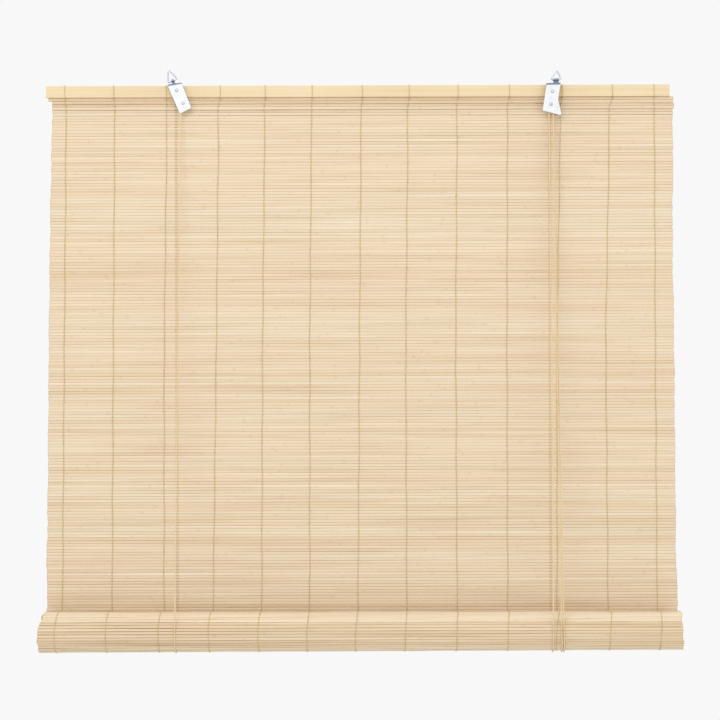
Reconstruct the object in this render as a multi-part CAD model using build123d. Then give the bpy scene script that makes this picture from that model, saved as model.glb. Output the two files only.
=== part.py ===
from build123d import *
import math
import os

# Bamboo roll-up blind, half lowered.
# Millimetres. +X along the head rail, +Z up, -Y towards the room. The origin is level with the
# hooks that the two rings hang on, midway along the rail, on the centre plane of the mat.

# ---------------------------------------------------------------- driving dimensions
RAIL_X0, RAIL_X1 = -499.0, 499.2
RAIL_TOP, RAIL_BOTTOM = -24.2, -43.1
RAIL_T = 7.0                       # thickness of the head rail batten

SLAT_N = 181                       # slats between the head rail and the roll
SLAT_PITCH = 4.69
SLAT_W, SLAT_T = 4.4, 1.6
SLAT_FIRST = -46.2                 # centre height of the first slat
EDGE_LEFT = [(-44, -489.5), (-74, -489.3), (-120, -490.4), (-230, -493.0), (-450, -496.0),
             (-690, -498.4), (-790, -500.4), (-900, -499.4)]
EDGE_RIGHT = [(-44, 503.6), (-120, 504.6), (-290, 503.4), (-430, 505.4), (-784, 507.6),
              (-860, 510.4), (-900, 510.6)]

THREAD = 0.9                       # warp thread, laid in front of and behind the slats
# (x on the rail, x just under it, x half way, x at the roll) for each warp thread
STATIONS = [
    (-468.8, -467.5, -471.0, -475.6), (-390.4, -389.6, -392.5, -396.0),
    (-306.6, -306.2, -311.0, -312.8), (-220.0, -223.5, -227.5, -234.4),
    (-148.0, -149.5, -153.5, -156.5), (-72.8, -74.5, -78.0, -79.4),
    (7.2, 5.0, 1.8, -2.2), (82.4, 79.8, 75.8, 76.2),
    (160.8, 158.6, 155.8, 157.0), (242.9, 239.6, 237.8, 237.9),
    (327.4, 324.0, 317.8, 317.0), (407.6, 402.4, 396.0, 398.9),
    (474.2, 475.0, 475.4, 477.3),
]

ROLL_X0, ROLL_X1 = -513.0, 517.0
ROLL_Z = -893.0                    # height of the roll's axis
ROLL_R = 32.5                      # outer radius of the roll
ROLL_PITCH = 3.9                   # radial distance between turns
HALF_TURNS = 11
FOOT_W, FOOT_T = 18.0, 6.0         # bottom batten at the core of the roll
FOOT_X0, FOOT_X1 = -498.0, 500.0

CORD_R = 1.1
SLING_R = 34.0                     # cord's centre line round the roll
PULLEY_R = 3.4                     # cord's centre line round a pulley
PULLEY_RIM = 5.0
AXLE_R, BORE_R = 1.2, 1.25
PLATE = 1.0                        # bracket sheet
WIRE_R = 1.2                       # ring wire
EYE_R = 1.28                       # inside of the lug's curl
RING_Y = -2.0

LEFT_PULLEY = (-279.0, -53.1)      # x, z of the axle
RIGHT_PULLEY = (308.6, -56.8)
LEFT_FIX = (-289.0, -32.6)         # x, z of the rivet through the rail
RIGHT_FIX = (310.9, -36.0)
GROOVE_REAR, GROOVE_FRONT = -6.2, -9.4
LEFT_PLATE_Y, RIGHT_PLATE_Y = -9.0, -12.0      # back face of each front plate
BACK_LEG_Y = RAIL_T / 2 + 0.1                  # front face of the back leg

LEFT_OUTLINE = [(-309.7, -10.0), (-285.7, -10.0), (-265.9, -60.5), (-284.0, -69.8)]
RIGHT_OUTLINE = [(303.9, -10.0), (325.9, -10.0), (319.7, -49.0), (325.3, -74.6), (294.9, -66.7)]
LEFT_TOP, LEFT_TILT = (-292.0, -21.15), 8.5    # middle of the fold, and its slope in degrees
RIGHT_TOP, RIGHT_TILT = (312.4, -22.3), 1.5
BACK_LEG = 23.5                                # length of the back leg to its lip
LEFT_RING = [(-303.3, 2.2), (-303.8, -19.4), (-288.6, -12.9)]
RIGHT_RING = [(318.7, -0.4), (308.6, -17.1), (326.2, -15.7)]
RING_CORNER = [1.9, 2.4, 2.4]
LEFT_LUG, RIGHT_LUG = 5.0, 8.6                 # width of each lug

LEFT_BACK_X, RIGHT_BACK_X = -290.4, 305.6      # where each lift cord is knotted
CAM_PIVOT = (319.2, -62.0)
NAIL = (382.0, -34.0)
NAIL_R = 1.45
NAIL_CORD_R = 2.6
TAIL_Y = (7.4, 10.2)
BELL_TOP = -112.0

ROLL_Y = -(ROLL_R - SLAT_T / 2)                # the mat's centre plane is tangent to the outer turn
os.makedirs("parts", exist_ok=True)
made = {}


def keep(name, shape):
    made[name] = shape
    export_step(shape, f"parts/{name}.step")
    n = len(shape.solids())
    v = sum(s.volume for s in shape.solids())
    b = shape.bounding_box()
    print(f"{name:26s} solids {n:4d} volume {v:12.2f} x {b.min.X:8.2f} {b.max.X:8.2f} y {b.min.Y:7.2f} {b.max.Y:7.2f} z {b.min.Z:8.2f} {b.max.Z:8.2f}")


def at(table, z):
    """Linear reading of a table of (height, x), listed from the top down."""
    if z >= table[0][0]:
        return table[0][1]
    for (za, xa), (zb, xb) in zip(table, table[1:]):
        if z >= zb:
            return xa + (xb - xa) * (za - z) / (za - zb)
    return table[-1][1]


def rod(p, q, r):
    p, q = Vector(*p), Vector(*q)
    d = q - p
    return extrude(Plane(origin=p, z_dir=d) * Circle(r), amount=d.length)


def tube(path, r):
    return sweep(Plane(origin=path @ 0, z_dir=path % 0) * Circle(r), path=path)


def along_y(x, z, r, y0, y1):
    """Cylinder along Y."""
    return rod((x, y0, z), (x, y1, z), r)


def one(shape):
    """The single solid of a fused shape."""
    s = shape.solids()
    assert len(s) == 1, f"{len(s)} solids"
    return s[0]


# ---------------------------------------------------------------- head rail batten
rail = Pos((RAIL_X0 + RAIL_X1) / 2, 0, (RAIL_TOP + RAIL_BOTTOM) / 2) * Box(
    RAIL_X1 - RAIL_X0, RAIL_T, RAIL_TOP - RAIL_BOTTOM
)
rail = fillet(rail.edges().filter_by(Axis.X), 1.2)
FIX_R = 1.5
for x, z in (LEFT_FIX, RIGHT_FIX):
    rail -= along_y(x, z, FIX_R, -10, 10)
NAIL_IN = 5.5                                  # how deep the nail goes into the batten
rail -= along_y(NAIL[0], NAIL[1], NAIL_R, RAIL_T / 2 - NAIL_IN, 10)
keep("headrail_batten", one(rail))

# ---------------------------------------------------------------- slats of the mat
section = RectangleRounded(SLAT_T, SLAT_W, 0.45)
THROUGH_LEFT, THROUGH_RIGHT = -271.0, 299.5    # where the cross cord passes through the mat
CROSS_LEFT_Z = LEFT_PULLEY[1] + PULLEY_R
CROSS_RIGHT_Z = RIGHT_PULLEY[1] + PULLEY_R
slats = []
for i in range(SLAT_N):
    z = SLAT_FIRST - i * SLAT_PITCH
    wave = 0.9 * math.sin(i * 2.399963) + 0.5 * math.sin(i * 1.1)
    x0 = at(EDGE_LEFT, z) + wave
    x1 = at(EDGE_RIGHT, z) + 0.8 * math.sin(i * 1.7 + 1)
    s = extrude(Plane.YZ.offset(x0) * Pos(0, z) * section, amount=x1 - x0)
    for x, zc in ((THROUGH_LEFT, CROSS_LEFT_Z), (THROUGH_RIGHT, CROSS_RIGHT_Z)):
        if abs(z - zc) < SLAT_W / 2 + 1.7:
            s -= along_y(x, zc, 1.5, -3, 3)    # notch where the cord slips between two slats
    slats.append(one(s))
keep("mat_slats", Compound(children=slats))

# ---------------------------------------------------------------- warp threads
def strip(p, q):
    """Square bar of the thread's section from p to q, run on by half a thread at each end."""
    p, q = Vector(*p), Vector(*q)
    d = (q - p).normalized()
    p, q = p - d * THREAD / 2, q + d * THREAD / 2
    pl = Plane(origin=p, z_dir=d, x_dir=(0, 1, 0) if abs(d.Y) < 0.9 else (1, 0, 0))
    return extrude(pl * Rectangle(THREAD, THREAD), amount=(q - p).length)


END_Z = SLAT_FIRST - (SLAT_N - 1) * SLAT_PITCH - SLAT_W / 2
threads = []
for xr, xt, xm, xb in STATIONS:
    yr = RAIL_T / 2 + 0.05 + THREAD / 2
    ys = SLAT_T / 2 + 0.2 + THREAD / 2
    top = RAIL_TOP + 0.05 + THREAD / 2
    body = strip((xr, -yr, top), (xr, yr, top))
    for side in (-1, 1):
        line = [
            (xr, side * yr, top), (xr, side * yr, RAIL_BOTTOM + 0.2), (xt, side * ys, -52.0),
            (xt, side * ys, -120.0), (xm, side * ys, -430.0), (xb, side * ys, END_Z + THREAD / 2),
        ]
        for p, q in zip(line, line[1:]):
            body += strip(p, q)
    threads.append(one(body))
keep("warp_threads", Compound(children=threads))

# ---------------------------------------------------------------- the rolled part of the mat
def spiral_edge(off):
    """Half-turn arcs of the spiral, off from the mat's centre line: first under the axis, then over it."""
    arcs = []
    for k in range(HALF_TURNS):
        r = ROLL_R - SLAT_T / 2 - k * ROLL_PITCH / 2 + off
        if k % 2 == 0:
            arcs.append(CenterArc((ROLL_Y, ROLL_Z), r, 0, -180))
        else:
            arcs.append(CenterArc((ROLL_Y - ROLL_PITCH / 2, ROLL_Z), r, 180, -180))
    return arcs


outer, inner = spiral_edge(SLAT_T / 2), spiral_edge(-SLAT_T / 2)
edges = outer + inner + [
    Line(outer[0] @ 0, inner[0] @ 0), Line(outer[-1] @ 1, inner[-1] @ 1)
]
face = make_face(edges)
roll = extrude(Plane.YZ.offset(ROLL_X0) * face, amount=ROLL_X1 - ROLL_X0)
keep("mat_roll", one(roll))
rolled = sum(math.pi * (ROLL_R - SLAT_T / 2 - k * ROLL_PITCH / 2) for k in range(HALF_TURNS))
print("mat on the roll, mm:", round(rolled, 1), "whole mat:", round(rolled - ROLL_Z + RAIL_BOTTOM, 1))

foot = Pos((FOOT_X0 + FOOT_X1) / 2, ROLL_Y - ROLL_PITCH / 4, ROLL_Z) * Rot(35, 0, 0) * Box(
    FOOT_X1 - FOOT_X0, FOOT_W, FOOT_T
)
foot = fillet(foot.edges().filter_by(Axis.X), 1.0)
keep("bottom_batten", one(foot))

# ---------------------------------------------------------------- hanging brackets
def turned(points, origin, tilt):
    """Points in the row's x, z as seen from a bracket's own frame."""
    c, s = math.cos(math.radians(tilt)), math.sin(math.radians(tilt))
    out = []
    for x, z in points:
        dx, dz = x - origin[0], z - origin[1]
        out.append((dx * c + dz * s, -dx * s + dz * c))
    return out


def bracket(outline, top, tilt, plate_y, ring, lug_w, fix, axle, anchor_x, extra=()):
    """One strip of sheet folded over the rail: front plate, top, back leg and its lip, with a curled lug."""
    yf, yb = plate_y - PLATE, BACK_LEG_Y + PLATE
    long = 80
    out = Rectangle(yb - yf, long, align=(Align.MIN, Align.MAX))
    out = Pos(yf, 0) * out
    corner = out.vertices().group_by(Axis.Y)[-1].sort_by(Axis.X)
    out = fillet(corner[0], 3.2)
    out = fillet(out.vertices().group_by(Axis.Y)[-1].sort_by(Axis.X)[-1], 2.2)
    hole = Pos(yf + PLATE, -PLATE) * Rectangle(yb - yf - 2 * PLATE, long, align=(Align.MIN, Align.MAX))
    hole = fillet(hole.vertices().group_by(Axis.Y)[-1].sort_by(Axis.X)[0], 2.2)
    hole = fillet(hole.vertices().group_by(Axis.Y)[-1].sort_by(Axis.X)[-1], 1.2)
    prof = out - hole
    prof -= Pos(yb - PLATE - 0.5, -BACK_LEG) * Rectangle(10, long, align=(Align.MIN, Align.MAX))
    lip = Pos(yb - PLATE, -BACK_LEG) * Rectangle(PLATE + 6.6, PLATE, align=(Align.MIN, Align.MIN))
    prof += lip
    near = [v for v in prof.vertices() if abs(v.X - (yb - PLATE)) < 0.01 and abs(v.Y + BACK_LEG) < 0.01]
    prof = fillet(near, 1.4)
    near = [v for v in prof.vertices() if abs(v.X - yb) < 0.01 and abs(v.Y - (-BACK_LEG + PLATE)) < 0.01]
    prof = fillet(near, 0.4)
    body = extrude(Plane.YZ.offset(-30) * prof, amount=60)
    pts = turned(outline, top, tilt)
    flat = make_face(Polyline(*pts, close=True))
    low = flat.vertices().sort_by(Axis.Y)[: len(pts) - 2]
    flat = fillet(low, 2.0)
    cutter = extrude(Plane(origin=(0, 40, 0), x_dir=(1, 0, 0), z_dir=(0, -1, 0)) * flat, amount=80)
    body = body & cutter
    body = Pos(top[0], 0, top[1]) * Rot(0, -tilt, 0) * body
    # lug: a tongue that rises from the fold and curls round the ring's bar
    a, b = ring[1], ring[2]
    mid = ((a[0] + b[0]) / 2, (a[1] + b[1]) / 2)
    slope = math.degrees(math.atan2(b[1] - a[1], b[0] - a[0]))
    curl = Plane(origin=(mid[0], RING_Y, mid[1]), x_dir=(0, 1, 0), z_dir=(b[0] - a[0], 0, b[1] - a[1]))
    disc = Pos(0, 0) * Circle(EYE_R + PLATE)
    drop = 8.0
    # the tongue's sheet, in the curl's own section plane, where +y there points up the bracket
    up = 1 if curl.y_dir.Z > 0 else -1
    tongue = Pos(0, -up * drop / 2) * Rectangle(PLATE * 1.2, drop)
    lug = extrude(curl * (disc + tongue), amount=lug_w / 2, both=True)
    lug -= extrude(curl * Circle(EYE_R), amount=lug_w, both=True)
    # trim the tongue inside the fold
    trim = Pos(top[0], 0, top[1]) * Rot(0, -tilt, 0) * (
        Pos(0, 0, -PLATE - 20) * Box(80, 30, 40)
    )
    lug -= trim
    body += lug
    body -= along_y(fix[0], fix[1], FIX_R, -20, 20)
    body -= along_y(axle[0], axle[1], AXLE_R, -20, 0)
    for x, z, r in extra:
        body -= along_y(x, z, r, -20, 0)
    c, s = math.cos(math.radians(tilt)), math.sin(math.radians(tilt))
    # anchor hole in the lip, along the bracket's own height
    w = -BACK_LEG + PLATE
    u = (anchor_x - top[0] + w * s) / c
    y = BACK_LEG_Y + PLATE + 3.3
    frame = Pos(top[0], 0, top[1]) * Rot(0, -tilt, 0)
    body -= frame * Pos(u, y, w) * Cylinder(1.45, 8)
    # a knot that sits on the lip, flat below
    knot = Pos(u, y, w + 2.1) * Sphere(2.7) - Pos(u, y, w - 5 + 0.02) * Box(10, 10, 10)
    return one(body), one(frame * knot), (frame * Pos(u, y, w)).position


left, left_knot, left_anchor = bracket(
    LEFT_OUTLINE, LEFT_TOP, LEFT_TILT, LEFT_PLATE_Y, LEFT_RING, LEFT_LUG, LEFT_FIX, LEFT_PULLEY, LEFT_BACK_X
)
right, right_knot, right_anchor = bracket(
    RIGHT_OUTLINE, RIGHT_TOP, RIGHT_TILT, RIGHT_PLATE_Y, RIGHT_RING, RIGHT_LUG, RIGHT_FIX, RIGHT_PULLEY,
    RIGHT_BACK_X, extra=[(CAM_PIVOT[0], CAM_PIVOT[1], 1.1)],
)
keep("left_bracket", left)
keep("right_bracket", right)
keep("left_anchor_knot", left_knot)
keep("right_anchor_knot", right_knot)
print("anchors", left_anchor, right_anchor)


def ring(points):
    """Triangular wire ring."""
    path = FilletPolyline(*[(x, RING_Y, z) for x, z in points], radius=RING_CORNER, close=True)
    start = path.edges().sort_by(SortBy.LENGTH)[-1]
    wire = sweep(Plane(origin=start @ 0, z_dir=start % 0) * Circle(WIRE_R), path=path)
    return wire


keep("left_ring", one(ring(LEFT_RING)))
keep("right_ring", one(ring(RIGHT_RING)))

# ---------------------------------------------------------------- rivets, spacers, pulleys
def dome(x, z, y, r, h, towards):
    """Low domed head standing on the plane y, bulging towards -Y or +Y."""
    R = (r * r + h * h) / (2 * h)
    ball = Pos(x, y - towards * (R - h), z) * Sphere(R)
    return ball & (Pos(x, y + towards * 5, z) * Box(20, 10, 20))


for name, (x, z), plate_y in (("left", LEFT_FIX, LEFT_PLATE_Y), ("right", RIGHT_FIX, RIGHT_PLATE_Y)):
    front, back = plate_y - PLATE, BACK_LEG_Y + PLATE
    rivet = along_y(x, z, FIX_R, front, back)
    rivet += dome(x, z, front, 2.9, 1.5, -1)
    rivet += dome(x, z, back, 2.7, 1.2, 1)
    keep(f"{name}_fixing_rivet", one(rivet))
    spacer = along_y(x, z, 3.0, plate_y, -RAIL_T / 2) - along_y(x, z, FIX_R, plate_y - 1, 0)
    keep(f"{name}_spacer", one(spacer))


def pulley(x, z, y0, y1, grooves):
    """Turned wheel on an axle along Y; section drawn with its radius along local x."""
    prof = Pos((BORE_R + PULLEY_RIM) / 2, (y0 + y1) / 2) * Rectangle(PULLEY_RIM - BORE_R, y1 - y0)
    for g in grooves:
        prof -= Pos(PULLEY_R, g) * Circle(1.25)
        prof -= make_face(Polyline(
            (PULLEY_R, g - 1.25), (PULLEY_RIM + 0.5, g - 1.42), (PULLEY_RIM + 0.5, g + 1.42), (PULLEY_R, g + 1.25),
            close=True,
        ))
    wheel = revolve(Plane.XY * prof, axis=Axis.Y)
    return one(Pos(x, 0, z) * wheel)


keep("left_pulley", pulley(*LEFT_PULLEY, -8.2, -4.3, [GROOVE_REAR]))
keep("right_pulley", pulley(*RIGHT_PULLEY, -11.3, -4.3, [GROOVE_FRONT, GROOVE_REAR]))
for name, (x, z), plate_y in (("left", LEFT_PULLEY, LEFT_PLATE_Y), ("right", RIGHT_PULLEY, RIGHT_PLATE_Y)):
    front = plate_y - PLATE
    axle = along_y(x, z, AXLE_R, front, -3.2) + dome(x, z, front, 2.7, 1.4, -1)
    axle += along_y(x, z, 2.4, -4.0, -3.1)
    keep(f"{name}_axle_rivet", one(axle))

# ---------------------------------------------------------------- cord lock cam
cx, cz = CAM_PIVOT
pts = [(2.4, 1.5), (1.2, 2.6), (-1.0, 3.0)]
for k in range(9):
    a = math.radians(150 + 8.0 * k)
    r = 5.6 if k % 2 == 0 else 5.0
    pts.append((r * math.cos(a), r * math.sin(a)))
pts += [(-1.2, -3.4), (0.8, -2.8), (2.4, -1.5)]
flat = make_face(Polyline(*pts, close=True)) + Circle(2.8)
cam = extrude(Plane(origin=(cx, -5.4, cz), x_dir=(1, 0, 0), z_dir=(0, -1, 0)) * flat, amount=6.0)
cam -= along_y(cx, cz, 1.15, -15, 0)
keep("lock_cam", one(cam))
pin = along_y(cx, cz, 1.1, RIGHT_PLATE_Y - PLATE, -5.1) + along_y(cx, cz, 1.9, -5.1, -4.3)
keep("cam_pin", one(pin))

# ---------------------------------------------------------------- cords
GAP = 0.15                         # half the gap left where two lengths of one cord meet


def front_tangent(start, x_end):
    """Where a straight cord from start, (x, y, z), first touches the circle round the roll's front."""
    dy, dz = ROLL_Y - start[1], ROLL_Z - start[2]
    dist = math.hypot(dy, dz)
    turn = math.asin(SLING_R / dist)
    heading = math.atan2(dy, -dz) - turn           # 0 is straight down, negative towards the front
    ny, nz = -math.cos(heading), -math.sin(heading)
    return (x_end, ROLL_Y + SLING_R * ny, ROLL_Z + SLING_R * nz)


def back_tangent(start, x_end):
    dy, dz = ROLL_Y - start[1], ROLL_Z - start[2]
    dist = math.hypot(dy, dz)
    turn = math.asin(SLING_R / dist)
    heading = math.atan2(dy, -dz) + turn
    ny, nz = math.cos(heading), math.sin(heading)
    return (x_end, ROLL_Y + SLING_R * ny, ROLL_Z + SLING_R * nz)


def short_of(p, q, gap=GAP):
    """q moved back towards p by gap."""
    p, q = Vector(*p), Vector(*q)
    v = q - (q - p).normalized() * gap
    return (v.X, v.Y, v.Z)


def run(p, q):
    """Straight taut cord from p to q, a hair short of both."""
    return one(rod(short_of(q, p), short_of(p, q), CORD_R))


def sling(front, back):
    """Cord under the roll, one arc of the roll's own size."""
    bottom = ((front[0] + back[0]) / 2, ROLL_Y, ROLL_Z - SLING_R)
    return one(tube(ThreePointArc(front, bottom, back), CORD_R))


def report(name, solid, length):
    want = math.pi * CORD_R**2 * length
    print(f"cord {name}: length {length:.1f} mm, volume {solid.volume:.1f}, section x length {want:.1f}")


PL = (LEFT_PULLEY[0] - PULLEY_R, GROOVE_REAR, LEFT_PULLEY[1])
PR = (RIGHT_PULLEY[0] - PULLEY_R, GROOVE_FRONT, RIGHT_PULLEY[1])
Q1 = (RIGHT_PULLEY[0] + PULLEY_R, GROOVE_FRONT, RIGHT_PULLEY[1])
Q2 = (RIGHT_PULLEY[0] + PULLEY_R, GROOVE_REAR, RIGHT_PULLEY[1])
lengths = {}
for name, top, x_front, anchor, x_back in (
    ("left", PL, -289.6, left_anchor, -291.6),
    ("right", PR, 304.8, right_anchor, 308.0),
):
    tf = front_tangent(top, x_front)
    knot_end = (anchor.X, anchor.Y, anchor.Z - 0.25)
    tb = back_tangent(knot_end, x_back)
    f = run(top, tf)
    keep(f"{name}_lift_cord_front", f)
    report(f"{name} front", f, math.dist(top, tf))
    u = sling(tf, tb)
    keep(f"{name}_lift_cord_sling", u)
    b = run(knot_end, tb)
    keep(f"{name}_lift_cord_back", b)
    report(f"{name} back", b, math.dist(knot_end, tb))
    print(name, "front tangent", tf, "back tangent", tb, "knot end", knot_end)

# the left cord goes on over its pulley, through the mat, along behind the rail and over the right pulley
BEHIND = 7.5
zl, zr = CROSS_LEFT_Z, CROSS_RIGHT_Z
route = [
    (PL[0], PL[1], PL[2] + GAP), (PL[0], PL[1], zl), (THROUGH_LEFT, PL[1], zl), (THROUGH_LEFT, BEHIND, zl),
    (THROUGH_RIGHT, BEHIND, zr), (THROUGH_RIGHT, GROOVE_REAR, zr), (Q2[0], GROOVE_REAR, zr),
    (Q2[0], GROOVE_REAR, Q2[2] + GAP),
]
radii = [PULLEY_R - GAP - 0.01, 4.5, 4.5, 4.5, 4.5, PULLEY_R - GAP - 0.01]
path = FilletPolyline(*route, radius=radii)
cross = one(tube(path, CORD_R))
keep("left_lift_cord_cross", cross)
print("cross cord radii", radii)
report("cross", cross, path.length)

# the right cord's half turn over its pulley
top_mid = (RIGHT_PULLEY[0], GROOVE_FRONT, RIGHT_PULLEY[1] + PULLEY_R)
turn = ThreePointArc(PR, top_mid, Q1)
over = one(tube(turn, CORD_R))
keep("right_lift_cord_turn", over)

# the two tails: down the front, under the roll, up behind the mat, over a nail and into the bell
PULL_X = (317.6, 321.2)
PULL_BACK_X = (323.5, 327.5)
fronts, slings, backs = [], [], []
for k, (start, x) in enumerate(((Q1, PULL_X[0]), (Q2, PULL_X[1]))):
    tf = front_tangent(start, x)
    nail_in = (NAIL[0] - NAIL_CORD_R, TAIL_Y[k], NAIL[1])
    tb = back_tangent(nail_in, PULL_BACK_X[k])
    fronts.append(run(start, tf))
    slings.append(sling(tf, tb))
    bell_y = sum(TAIL_Y) / 2 + (-1.2 if k == 0 else 1.2)
    bx = NAIL[0] + NAIL_CORD_R
    pts = [
        short_of(nail_in, tb), (nail_in[0], TAIL_Y[k], NAIL[1] + NAIL_CORD_R),
        (bx, TAIL_Y[k], NAIL[1] + NAIL_CORD_R), (bx, TAIL_Y[k] * 0.5 + bell_y * 0.5, BELL_TOP + 30.0), (bx, bell_y, BELL_TOP + 2.0),
        (bx, bell_y, BELL_TOP - 9.9),
    ]
    rr = [NAIL_CORD_R - 0.03, NAIL_CORD_R - 0.03, 200.0, 100.0]
    path = FilletPolyline(*pts, radius=rr)
    tail = one(tube(path, CORD_R))
    backs.append(tail)
    print("tail", k + 1, "radii", rr)
    report(f"tail {k + 1} back", tail, path.length)
    print("pull", k + 1, "front tangent", tf, "back tangent", tb)
keep("pull_cords_front", Compound(children=fronts))
keep("pull_cords_sling", Compound(children=slings))
keep("pull_cords_back", Compound(children=backs))

nail = along_y(NAIL[0], NAIL[1], NAIL_R, RAIL_T / 2 - NAIL_IN + 0.2, 12.6)
nail += along_y(NAIL[0], NAIL[1], 3.4, 12.3, 13.3)
keep("tail_nail", one(nail))

# turned wooden bell on the two tails, hollow below, with their knot inside
bx, by = NAIL[0] + NAIL_CORD_R, sum(TAIL_Y) / 2
T = BELL_TOP
shell = [
    (2.6, T), (3.4, T), (3.9, T - 0.9), (4.0, T - 2.0), (3.5, T - 4.0), (4.3, T - 7.0), (5.6, T - 12.0),
    (6.3, T - 18.0), (6.5, T - 23.0), (6.3, T - 25.4), (5.7, T - 26.0), (4.9, T - 25.6), (4.7, T - 18.0),
    (4.2, T - 12.0), (3.6, T - 9.6), (2.6, T - 9.6),
]
bell = revolve(Plane.XZ * make_face(Polyline(*shell, close=True)), axis=Axis.Z)
keep("cord_bell", one(Pos(bx, by, 0) * bell))
knot = Pos(bx, by, T - 12.7) * Sphere(2.8) & (Pos(bx, by, T - 9.95 - 5) * Box(12, 12, 10))
keep("tail_knot", one(knot))
print("nodes:", len(made))
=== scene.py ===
import bpy
import math
import random

import numpy as np
from mathutils import Matrix, Vector


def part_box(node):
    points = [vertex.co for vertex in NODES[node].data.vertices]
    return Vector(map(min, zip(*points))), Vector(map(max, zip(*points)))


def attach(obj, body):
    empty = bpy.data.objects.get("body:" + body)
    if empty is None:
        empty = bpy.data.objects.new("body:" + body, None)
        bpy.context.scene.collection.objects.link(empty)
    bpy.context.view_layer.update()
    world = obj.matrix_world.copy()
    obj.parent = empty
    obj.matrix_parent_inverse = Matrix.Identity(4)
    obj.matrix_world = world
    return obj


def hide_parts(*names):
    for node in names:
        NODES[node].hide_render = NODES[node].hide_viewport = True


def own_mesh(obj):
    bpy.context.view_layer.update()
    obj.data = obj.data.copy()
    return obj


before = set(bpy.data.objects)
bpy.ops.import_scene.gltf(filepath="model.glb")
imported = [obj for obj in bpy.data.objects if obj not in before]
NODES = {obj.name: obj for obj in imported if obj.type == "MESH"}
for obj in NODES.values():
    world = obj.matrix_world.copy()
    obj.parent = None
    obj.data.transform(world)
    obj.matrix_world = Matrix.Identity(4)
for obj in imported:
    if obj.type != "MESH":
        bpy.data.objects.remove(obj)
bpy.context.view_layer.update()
rng = random.Random(41)
MM = 0.001

# ------------------------------------------------------------------ camera
cam_data = bpy.data.cameras.new("camera")
cam_data.lens = 98.0
cam_data.sensor_width = 36.0
cam_data.clip_start, cam_data.clip_end = 0.05, 60.0
cam = bpy.data.objects.new("camera", cam_data)
bpy.context.scene.collection.objects.link(cam)
cam.location = (0.0024, -3.14, -0.464)
cam.rotation_euler = (math.radians(90), math.radians(0.17), 0)
bpy.context.scene.camera = cam


# ------------------------------------------------------------------ mesh helpers
def make(name, verts, faces, attrs=None, smooth=True):
    me = bpy.data.meshes.new(name)
    verts = np.asarray(verts, dtype=np.float32).reshape(-1, 3)
    me.from_pydata(verts.tolist(), [], [list(map(int, f)) for f in faces])
    for key, values in (attrs or {}).items():
        at = me.attributes.new(key, "FLOAT", "POINT")
        at.data.foreach_set("value", np.asarray(values, dtype=np.float32))
    if smooth:
        me.polygons.foreach_set("use_smooth", [True] * len(me.polygons))
    me.update()
    ob = bpy.data.objects.new(name, me)
    bpy.context.scene.collection.objects.link(ob)
    return ob


def grid_faces(rings, sides, base=0, caps=True):
    """Quads of a tube of that many rings, each of that many sides."""
    out = []
    for i in range(rings - 1):
        a, b = base + i * sides, base + (i + 1) * sides
        for k in range(sides):
            n = (k + 1) % sides
            out.append((a + k, a + n, b + n, b + k))
    if caps:
        out.append(tuple(base + k for k in reversed(range(sides))))
        last = base + (rings - 1) * sides
        out.append(tuple(last + k for k in range(sides)))
    return out


def route(points, fine=24):
    """The line of a smooth cord: a NURBS spline with these control points, read back as points."""
    cu = bpy.data.curves.new("route", "CURVE")
    cu.dimensions = "3D"
    sp = cu.splines.new("NURBS")
    sp.points.add(len(points) - 1)
    for p, co in zip(sp.points, points):
        p.co = (co[0] * MM, co[1] * MM, co[2] * MM, 1.0)
    sp.order_u = 3
    sp.use_endpoint_u = True
    sp.resolution_u = fine
    ob = bpy.data.objects.new("route", cu)
    bpy.context.scene.collection.objects.link(ob)
    dg = bpy.context.evaluated_depsgraph_get()
    me = bpy.data.meshes.new_from_object(ob.evaluated_get(dg))
    pts = np.array([v.co[:] for v in me.vertices])
    bpy.data.objects.remove(ob)
    bpy.data.curves.remove(cu)
    bpy.data.meshes.remove(me)
    return pts


def spaced(pts, step):
    d = np.linalg.norm(np.diff(pts, axis=0), axis=1)
    s = np.concatenate([[0], np.cumsum(d)])
    n = max(3, int(round(s[-1] / step)) + 1)
    t = np.linspace(0, s[-1], n)
    return np.stack([np.interp(t, s, pts[:, k]) for k in range(3)], axis=1), t


def frames(pts):
    """Tangent and two steady side directions at every point."""
    t = np.gradient(pts, axis=0)
    t /= np.linalg.norm(t, axis=1)[:, None]
    n = np.zeros_like(t)
    v = np.cross(t[0], [0.3, 1.0, 0.2])
    n[0] = v / np.linalg.norm(v)
    for i in range(1, len(t)):
        v = n[i - 1] - t[i] * np.dot(n[i - 1], t[i])
        n[i] = v / np.linalg.norm(v)
    return t, n, np.cross(t, n)


def cord_mesh(name, pts, radius, step=1.0 * MM, sides=12, lay=7.5 * MM, lobes=3, depth=0.10):
    """Laid cord: three strands twisted together, as the outline of one tube. The tone stored on it is darker in the
    grooves between strands, for painted shade.
    """
    p, s = spaced(pts, step)
    _, n, b = frames(p)
    th = np.linspace(0, 2 * math.pi, sides, endpoint=False)
    verts, tone = [], []
    for i in range(len(p)):
        ph = th - 2 * math.pi * s[i] / lay
        r = radius * (1 - depth + depth * np.abs(np.cos(lobes * ph / 2)) * 1.6 - depth * 0.4)
        r = np.minimum(r, radius)
        verts.append(p[i] + np.outer(np.cos(th) * r, n[i]) + np.outer(np.sin(th) * r, b[i]))
        # painted shade: the tone falls in the grooves between the strands
        tone.append(np.abs(np.cos(lobes * ph / 2)))
    return make(name, np.concatenate(verts), grid_faces(len(p), sides), {"lay": np.concatenate(tone)})


# ------------------------------------------------------------------ materials
def material(name):
    m = bpy.data.materials.new(name)
    m.use_nodes = True
    nt = m.node_tree
    bsdf = nt.nodes["Principled BSDF"]
    return m, nt, bsdf


def node(nt, kind, **props):
    n = nt.nodes.new(kind)
    for k, v in props.items():
        setattr(n, k, v)
    return n


def link(nt, a, b):
    nt.links.new(a, b)


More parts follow.
